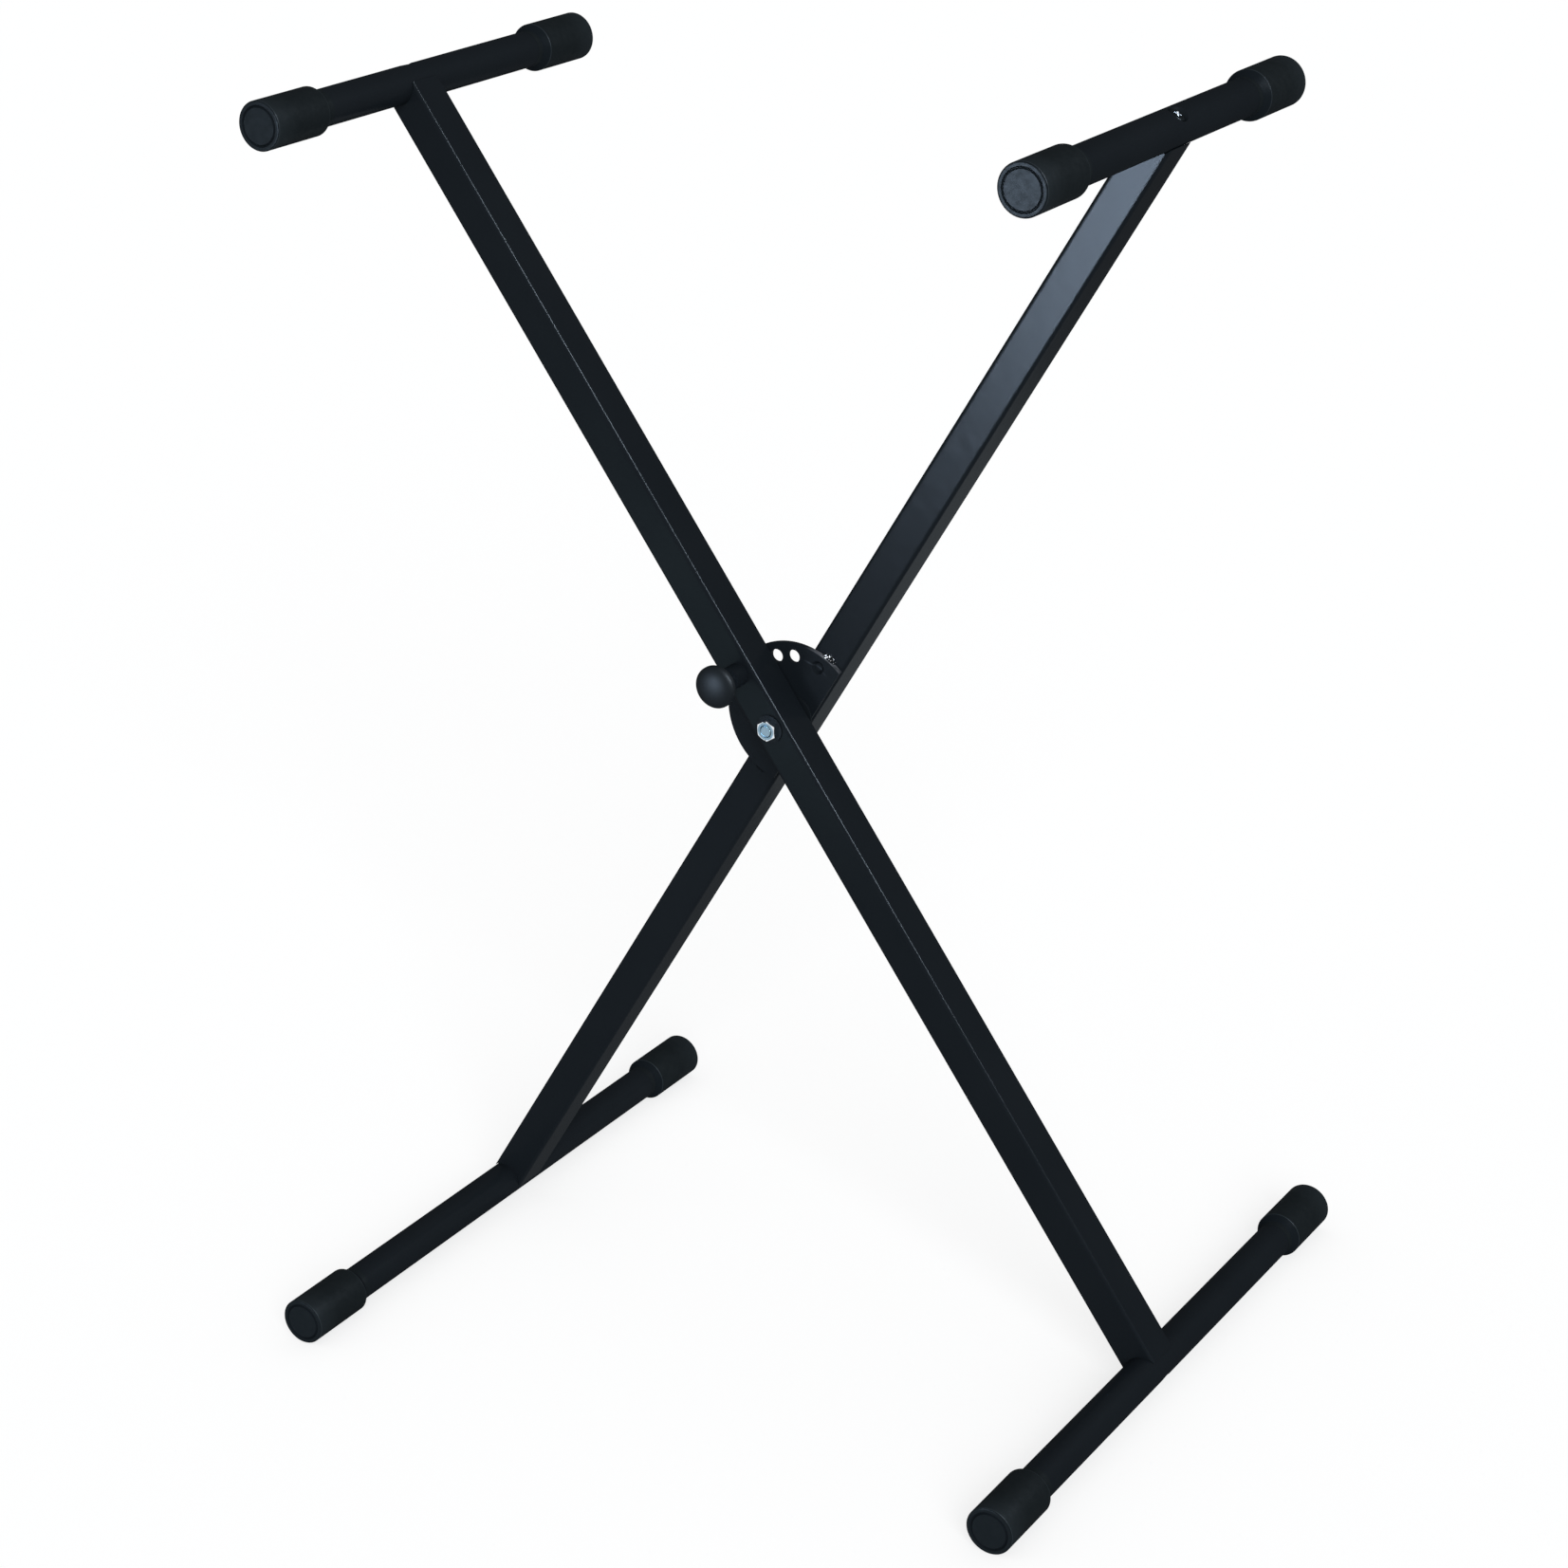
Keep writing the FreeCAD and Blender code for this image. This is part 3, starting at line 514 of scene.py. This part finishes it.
def make_bolt():
    """The pivot's bolt: a hexagon head behind, and a thread at the end in front."""
    low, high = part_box("pivot_bolt")
    length = high.y - low.y
    head = high.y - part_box("rear_pivot_washer")[1].y
    form = bmesh.new()
    backwards = hex_place(high.y - head) @ Matrix.Rotation(math.pi, 4, "Y")
    skin(form, hex_rings(head, chamfer_low=False), backwards)
    turns = int(THREADED_LENGTH / THREAD_PITCH)
    start = length - turns * THREAD_PITCH
    rings = [circle(BOLT_RADIUS, height, BOLT_SIDES) for height in (head, start - THREAD_PITCH)]
    rings += [thread_ring(step / TURN_STEPS, turns, start) for step in range(turns * TURN_STEPS + 1)]
    skin(form, rings, hex_place(high.y))
    mesh = to_mesh("hex_bolt", form, blue_zinc, HEX_SHARP)
    add_piece("hex_bolt", mesh, "pivot_bolt", "front_frame")


def pan_screw(form, place):
    """A pan-head screw along Z, its head's seat at the origin, before its recess is cut."""
    tip = circle(SCREW_SHANK_RADIUS / 2, -SCREW_REACH, SCREW_SIDES)
    shank_ends = (SCREW_SHANK_RADIUS - SCREW_REACH, 0.0)
    shank = [circle(SCREW_SHANK_RADIUS, height, SCREW_SIDES) for height in shank_ends]
    head = [circle(SCREW_HEAD_RADIUS * out, SCREW_HEAD_HEIGHT * up, SCREW_SIDES) for out, up in CROWN_SHARES]
    skin(form, [tip, *shank, *head], place)


def recess(form, place):
    """The tapered cross that is cut out of a screw head."""
    top = SCREW_HEAD_HEIGHT + RECESS_DEPTH
    floor = SCREW_HEAD_HEIGHT - RECESS_DEPTH
    for turn in (0.0, math.pi / 2):
        rings = []
        for height, taper in ((floor, RECESS_TAPER_SHARE), (top, 1.0)):
            x, y = RECESS_LENGTH * taper / 2, RECESS_WIDTH * taper / 2
            rings.append([(-x, -y, height), (x, -y, height), (x, y, height), (-x, y, height)])
        skin(form, rings, place @ Matrix.Rotation(turn, 4, "Z"))


def cut(base, tool, name):
    """The mesh that is left of base when tool is cut out of it."""
    pair = [bpy.data.objects.new(name + end, mesh) for end, mesh in (("_base", base), ("_tool", tool))]
    for part in pair:
        bpy.context.scene.collection.objects.link(part)
    modifier = pair[0].modifiers.new("cut", "BOOLEAN")
    modifier.object = pair[1]
    modifier.operation = "DIFFERENCE"
    modifier.use_self = True
    modifier.material_mode = "TRANSFER"
    left = bpy.data.meshes.new_from_object(pair[0].evaluated_get(bpy.context.evaluated_depsgraph_get()))
    for part in pair:
        bpy.data.objects.remove(part)
    left.name = name
    return left


def make_screws(side):
    """The two rail screws of a frame, each along its leg with the head in the rail's dimple."""
    leg_y = middle(side + "_leg").y
    heads = bmesh.new()
    tools = bmesh.new()
    for level in ("top", "foot"):
        rail = middle(f"{side}_{level}_rail")
        out = Vector((rail.x - PIVOT.x, 0.0, rail.z - PIVOT.z)).normalized()
        turn = Matrix((ALONG_RAILS.cross(out), ALONG_RAILS, out)).transposed().to_4x4()
        seat = Vector((rail.x, leg_y, rail.z)) + out * (RAIL_RADIUS - DIMPLE_DEPTH)
        place = Matrix.Translation(seat) @ turn @ Matrix.Rotation(SCREW_TURN, 4, "Z")
        pan_screw(heads, place)
        recess(tools, place)
    name = side + "_pan_screws"
    heads_mesh = to_mesh(name + "_heads", heads, black_zinc, SCREW_SHARP)
    tools_mesh = to_mesh(name + "_recesses", tools, bare_zinc, SCREW_SHARP)
    mesh = cut(heads_mesh, tools_mesh, name)
    smooth(mesh, SCREW_SHARP)
    add_piece(name, mesh, side + "_rail_screws", side + "_frame")


def bead_size(share, crossing):
    """A weld bead's leg at a share of the bead's length: rippled, uneven and smaller at both ends."""
    swell = math.sin(math.pi * share) ** WELD_END_POWER if 0.0 < share < 1.0 else WELD_END_SHARE
    ripple = WELD_RIPPLE_SHARE * math.sin(2 * math.pi * WELD_RIPPLES * share)
    uneven = WELD_UNEVEN_SHARE * noise.noise((WELD_UNEVEN_SCALE * share, crossing, 0))
    return WELD_LEG * swell * (WELD_MEAN_SHARE + ripple + uneven)


def bead_section(leg):
    """A bead's section as distances from the pivot and heights over the leg, from its root in the plate."""
    section = [(PLATE_RADIUS - WELD_ROOT, 0.0)]
    for k in range(WELD_SIDES + 1):
        turn = math.pi / 2 * k / WELD_SIDES
        out = leg * math.cos(turn) ** WELD_SECTION_POWER
        section.append((PLATE_RADIUS + out, leg * math.sin(turn) ** WELD_SECTION_POWER))
    return section


def make_welds():
    """Rippled beads along the plate's rim, where it crosses the rear leg."""
    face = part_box("rear_leg")[0].y
    form = bmesh.new()
    for crossing in (LEAN, LEAN + math.pi):
        rings = []
        for step in range(WELD_STEPS + 1):
            share = step / WELD_STEPS
            angle = crossing + (share - 0.5) * WELD_ANGLE
            section = bead_section(bead_size(share, crossing))
            rings.append([(r * math.sin(angle), face - up, r * math.cos(angle)) for r, up in section])
        skin(form, rings, Matrix.Translation((PIVOT.x, 0.0, PIVOT.z)))
    mesh = to_mesh("weld_beads", form, weld_metal, WELD_SHARP)
    add_piece("weld_beads", mesh, "plate_welds", "rear_frame")


def arc(last):
    """Even turns from nothing to the last one."""
    return [last * k / ARC_STEPS for k in range(ARC_STEPS + 1)]


def cap_profile(radius, length):
    """Distances in from a cap's end face, with radii, from that face's disc to the bottom of the bore."""
    ring = radius - CAP_RING_INSET
    disc = ring - CAP_RING_WIDTH
    groove = [disc + CAP_RING_DRAFT, ring - CAP_RING_DRAFT]
    points = [(0.0, disc), *((CAP_RING_DEPTH, wall) for wall in groove), (0.0, ring)]
    round_middle = radius - CAP_EDGE_ROUND
    for turn in arc(math.pi / 2):
        points.append((CAP_EDGE_ROUND * (1 - math.cos(turn)), round_middle + CAP_EDGE_ROUND * math.sin(turn)))
    mouth = RAIL_RADIUS + CAP_LIP
    slope = math.atan2(radius - mouth, CAP_CONE)
    barrel = length - CAP_SHOULDER - CAP_SHOULDER_ROUND * math.tan(slope / 2)
    for turn in arc(slope):
        points.append((barrel + CAP_SHOULDER_ROUND * math.sin(turn),
                       radius - CAP_SHOULDER_ROUND * (1 - math.cos(turn))))
    bore = RAIL_RADIUS + FIT_GAP
    cone_end = length - CAP_SHOULDER + CAP_CONE
    return points + [(cone_end, mouth), (length, mouth), (length, bore), (CAP_END_WALL, bore)]


def make_cap(node):
    """A moulded cap, turned round its rail's axis, with a ring groove in its end and a coned mouth."""
    low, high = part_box(node)
    centre = middle(node)
    near = node.endswith("near")
    place = Matrix.Translation((centre.x, low.y if near else high.y, centre.z))
    place = place @ Matrix.Rotation(-math.pi / 2 if near else math.pi / 2, 4, "X")
    profile = cap_profile((high.x - low.x) / 2, high.y - low.y)
    form = bmesh.new()
    skin(form, [circle(radius, inwards, ROUND_SIDES) for inwards, radius in profile], place)
    name = node + "_moulding"
    body = node.split("_")[0] + "_frame"
    add_piece(name, to_mesh(name, form, cap_rubber, CAP_SHARP), node, body)


def make_plate():
    """A copy of the lock plate, in its own finish, with its hard edges rounded a little."""
    mesh = nodes["lock_plate"].data.copy()
    mesh.name = "plate_with_wear_and_highlight"
    mesh.shade_smooth()
    piece = add_piece("plate_with_wear_and_highlight", mesh, "lock_plate", "rear_frame")
    bevel = piece.modifiers.new("edges", "BEVEL")
    bevel.width = PLATE_EDGE_ROUND
    bevel.segments = BEVEL_SEGMENTS
    bevel.limit_method = "ANGLE"
    bevel.angle_limit = math.radians(PLATE_SHARP)
    bevel.harden_normals = True


def corner_shift(out, deep):
    """How far a point on a leg's corner, measured from the corner's middle, moves to the tighter round."""
    turn = (math.atan2(deep, out) - LEG_CORNER_SPARE) / (math.pi / 2 - 2 * LEG_CORNER_SPARE)
    turn = min(max(turn, 0.0), 1.0) * math.pi / 2
    flat = CAD_LEG_CORNER - LEG_CORNER
    return flat + LEG_CORNER * math.cos(turn) - out, flat + LEG_CORNER * math.sin(turn) - deep


def make_leg(side):
    """A copy of a leg's tube with its four corners drawn out to a tighter round."""
    node = side + "_leg"
    lean = -LEAN if side == "front" else LEAN
    across = Vector((math.cos(lean), 0.0, -math.sin(lean)))
    centre_y = middle(node).y
    mesh = nodes[node].data.copy()
    mesh.name = node + "_tube"
    mesh.attributes.remove(mesh.attributes["custom_normal"])
    half_width = max((vertex.co - PIVOT).dot(across) for vertex in mesh.vertices)
    half_depth = span(node).y / 2
    for vertex in mesh.vertices:
        x = (vertex.co - PIVOT).dot(across)
        y = vertex.co.y - centre_y
        out = abs(x) - half_width + CAD_LEG_CORNER
        deep = abs(y) - half_depth + CAD_LEG_CORNER
        if min(out, deep) > FIT_GAP and math.hypot(out, deep) > CAD_LEG_CORNER - FIT_GAP:
            more_out, more_deep = corner_shift(out, deep)
            vertex.co += across * math.copysign(more_out, x) + ALONG_RAILS * math.copysign(more_deep, y)
    return add_piece(mesh.name, mesh, node, side + "_frame")


legs = {side: make_leg(side) for side in ("front", "rear")}
make_nut()
make_bolt()
for side in ("front", "rear"):
    make_screws(side)
make_welds()
for name in finishes[cap_rubber]:
    make_cap(name)
make_plate()

# Floor, light and camera. Lengths are in metres, apart from the camera's own, and angles in radians.
AMBIENT = 0.5
FLOOR_REACH = 12.0
FLOOR_GREY = 0.9
FLOOR_GLOW = 1.19
FLOOR_GLOW_SHARE = 0.6
PANEL_HEIGHT = 0.002
CAMERA_AZIMUTH = math.radians(32.367)
CAMERA_ELEVATION = math.radians(21.179)
CAMERA_ROLL = math.radians(-2.352)
CAMERA_DISTANCE = 2.473493
CAMERA_AIM = PIVOT + Vector((-0.009942, 0.000005, -0.052174))
CAMERA_SENSOR_MM = 36.0
CAMERA_LENS_MM = 82.831


def seen_directly(tree):
    """1 for what the camera and mirrors see, 0 for light that falls on the object."""
    path = tree.nodes.new("ShaderNodeLightPath")
    seen = path.outputs["Is Camera Ray"]
    for kind in ("Is Glossy Ray", "Is Transmission Ray"):
        either = tree.nodes.new("ShaderNodeMath")
        either.operation = "MAXIMUM"
        tree.links.new(seen, either.inputs[0])
        tree.links.new(path.outputs[kind], either.inputs[1])
        seen = either.outputs[0]
    return seen


def make_world():
    """A white surround, which lights the object by the ambient share of its white."""
    world = bpy.data.worlds.new("studio")
    world.use_nodes = True
    tree = world.node_tree
    tree.nodes.clear()
    strength = tree.nodes.new("ShaderNodeMapRange")
    tree.links.new(seen_directly(tree), strength.inputs["Value"])
    strength.inputs["To Min"].default_value = AMBIENT
    strength.inputs["To Max"].default_value = 1.0
    shader = tree.nodes.new("ShaderNodeBackground")
    tree.links.new(strength.outputs["Result"], shader.inputs["Strength"])
    shader.inputs["Color"].default_value = (1.0, 1.0, 1.0, 1.0)
    output = tree.nodes.new("ShaderNodeOutputWorld")
    tree.links.new(shader.outputs["Background"], output.inputs["Surface"])
    bpy.context.scene.world = world


def floor_material():
    """A matt white that partly glows where it is seen, so that it stays white in the picture."""
    material = bpy.data.materials.new("pale_floor")
    material.use_nodes = True
    tree = material.node_tree
    tree.nodes.clear()
    matt = tree.nodes.new("ShaderNodeBsdfDiffuse")
    matt.inputs["Color"].default_value = (FLOOR_GREY, FLOOR_GREY, FLOOR_GREY, 1.0)
    glow = tree.nodes.new("ShaderNodeEmission")
    glow.inputs["Strength"].default_value = FLOOR_GLOW
    share = tree.nodes.new("ShaderNodeMath")
    share.operation = "MULTIPLY"
    tree.links.new(seen_directly(tree), share.inputs[0])
    share.inputs[1].default_value = FLOOR_GLOW_SHARE
    mix = tree.nodes.new("ShaderNodeMixShader")
    tree.links.new(share.outputs[0], mix.inputs["Fac"])
    tree.links.new(matt.outputs[0], mix.inputs[1])
    tree.links.new(glow.outputs[0], mix.inputs[2])
    output = tree.nodes.new("ShaderNodeOutputMaterial")
    tree.links.new(mix.outputs[0], output.inputs["Surface"])
    return material


def make_floor():
    """A white floor that still takes the object's soft shadow."""
    mesh = bpy.data.meshes.new("floor")
    corners = [(FLOOR_REACH * x, FLOOR_REACH * y, 0) for x, y in ((-1, -1), (1, -1), (1, 1), (-1, 1))]
    mesh.from_pydata(corners, [], [(0, 1, 2, 3)])
    floor = bpy.data.objects.new("floor", mesh)
    bpy.context.scene.collection.objects.link(floor)
    mesh.materials.append(floor_material())


def area_light(name, place, size, power, colour, aim=PIVOT, along=UP):
    """A soft panel that is only mirrored in the object's gloss."""
    light = bpy.data.lights.new(name, "AREA")
    light.shape = "RECTANGLE"
    light.size, light.size_y = size
    light.energy = power
    light.color = colour
    lamp = bpy.data.objects.new(name, light)
    back = (Vector(place) - Vector(aim)).normalized()
    across = along.cross(back).normalized()
    turn = Matrix((across, back.cross(across), back)).transposed().to_4x4()
    lamp.matrix_world = Matrix.Translation(place) @ turn
    lamp.visible_camera = False
    lamp.visible_diffuse = False
    bpy.context.scene.collection.objects.link(lamp)
    return lamp


def mask(lamp, piece, state):
    """Keeps a lamp's light off one piece (EXCLUDE) or on it alone (INCLUDE), as flags do in a studio."""
    masked = bpy.data.collections.new(lamp.name + "_mask")
    masked.objects.link(piece)
    masked.collection_objects[0].light_linking.link_state = state
    lamp.light_linking.receiver_collection = masked


def floor_panel(name, x, y, size, power, colour, along=ALONG_RAILS):
    """A panel that lies on the floor and faces up."""
    place = Vector((x, y, PANEL_HEIGHT))
    return area_light(name, place, size, power, colour, aim=place + UP, along=along)


def sun_light(name, place, strength, spread, colour):
    """Even soft light over the whole floor, from the direction of a place."""
    light = bpy.data.lights.new(name, "SUN")
    light.energy = strength
    light.angle = spread
    light.color = colour
    lamp = bpy.data.objects.new(name, light)
    lamp.location = place
    lamp.rotation_euler = (PIVOT - Vector(place)).to_track_quat("-Z", "Y").to_euler()
    lamp.visible_glossy = False
    bpy.context.scene.collection.objects.link(lamp)


def make_lamps():
    """A soft sun for the colours, and panels for the gloss of the two legs."""
    front_leg_axis = Vector((-math.sin(LEAN), 0.0, math.cos(LEAN)))
    floor_tint = (0.84, 0.94, 1.0)
    sun_light("fill", place=(1.62, -1.84, 1.57), strength=2.26, spread=math.radians(30),
              colour=(0.95, 0.98, 1.0))
    sheen = area_light("sheen", place=(-0.74, -2.2, 0.42), size=(0.5, 0.8), power=325.0,
                       colour=(0.62, 0.78, 1.0), aim=(0.27, 0.0, 0.85))
    mask(sheen, legs["front"], "EXCLUDE")
    area_light("strip", place=(1.963, 0.1, 1.994), size=(1.0, 1.3), power=800.0,
               colour=(0.75, 0.87, 1.0), along=front_leg_axis)
    floor_panel("floor_far", x=0.0, y=0.80, size=(0.8, 0.6), power=5.1, colour=floor_tint)
    floor_panel("floor_near", x=-0.2, y=0.25, size=(0.6, 0.50), power=0.80, colour=floor_tint)
    front = floor_panel("floor_front", x=-0.88, y=-1.28, size=(0.7, 1.2), power=12.0,
                        colour=(0.62, 0.97, 1.0), along=Vector((-0.683, -0.73, 0.0)))
    mask(front, legs["front"], "INCLUDE")


def make_camera():
    """The photo's camera, from its direction, roll, distance and lens."""
    level = math.cos(CAMERA_ELEVATION)
    back = Vector((math.sin(CAMERA_AZIMUTH) * level, -math.cos(CAMERA_AZIMUTH) * level,
                   math.sin(CAMERA_ELEVATION)))
    right = (-back).cross(UP).normalized()
    up = right.cross(-back)
    across = right * math.cos(CAMERA_ROLL) + up * math.sin(CAMERA_ROLL)
    above = up * math.cos(CAMERA_ROLL) - right * math.sin(CAMERA_ROLL)
    data = bpy.data.cameras.new("camera")
    data.sensor_width = CAMERA_SENSOR_MM
    data.lens = CAMERA_LENS_MM
    camera = bpy.data.objects.new("camera", data)
    turn = Matrix((across, above, back)).transposed().to_4x4()
    camera.matrix_world = Matrix.Translation(CAMERA_AIM + back * CAMERA_DISTANCE) @ turn
    bpy.context.scene.collection.objects.link(camera)
    bpy.context.scene.camera = camera


make_world()
make_floor()
make_lamps()
make_camera()
bpy.context.scene.view_settings.view_transform = "Standard"
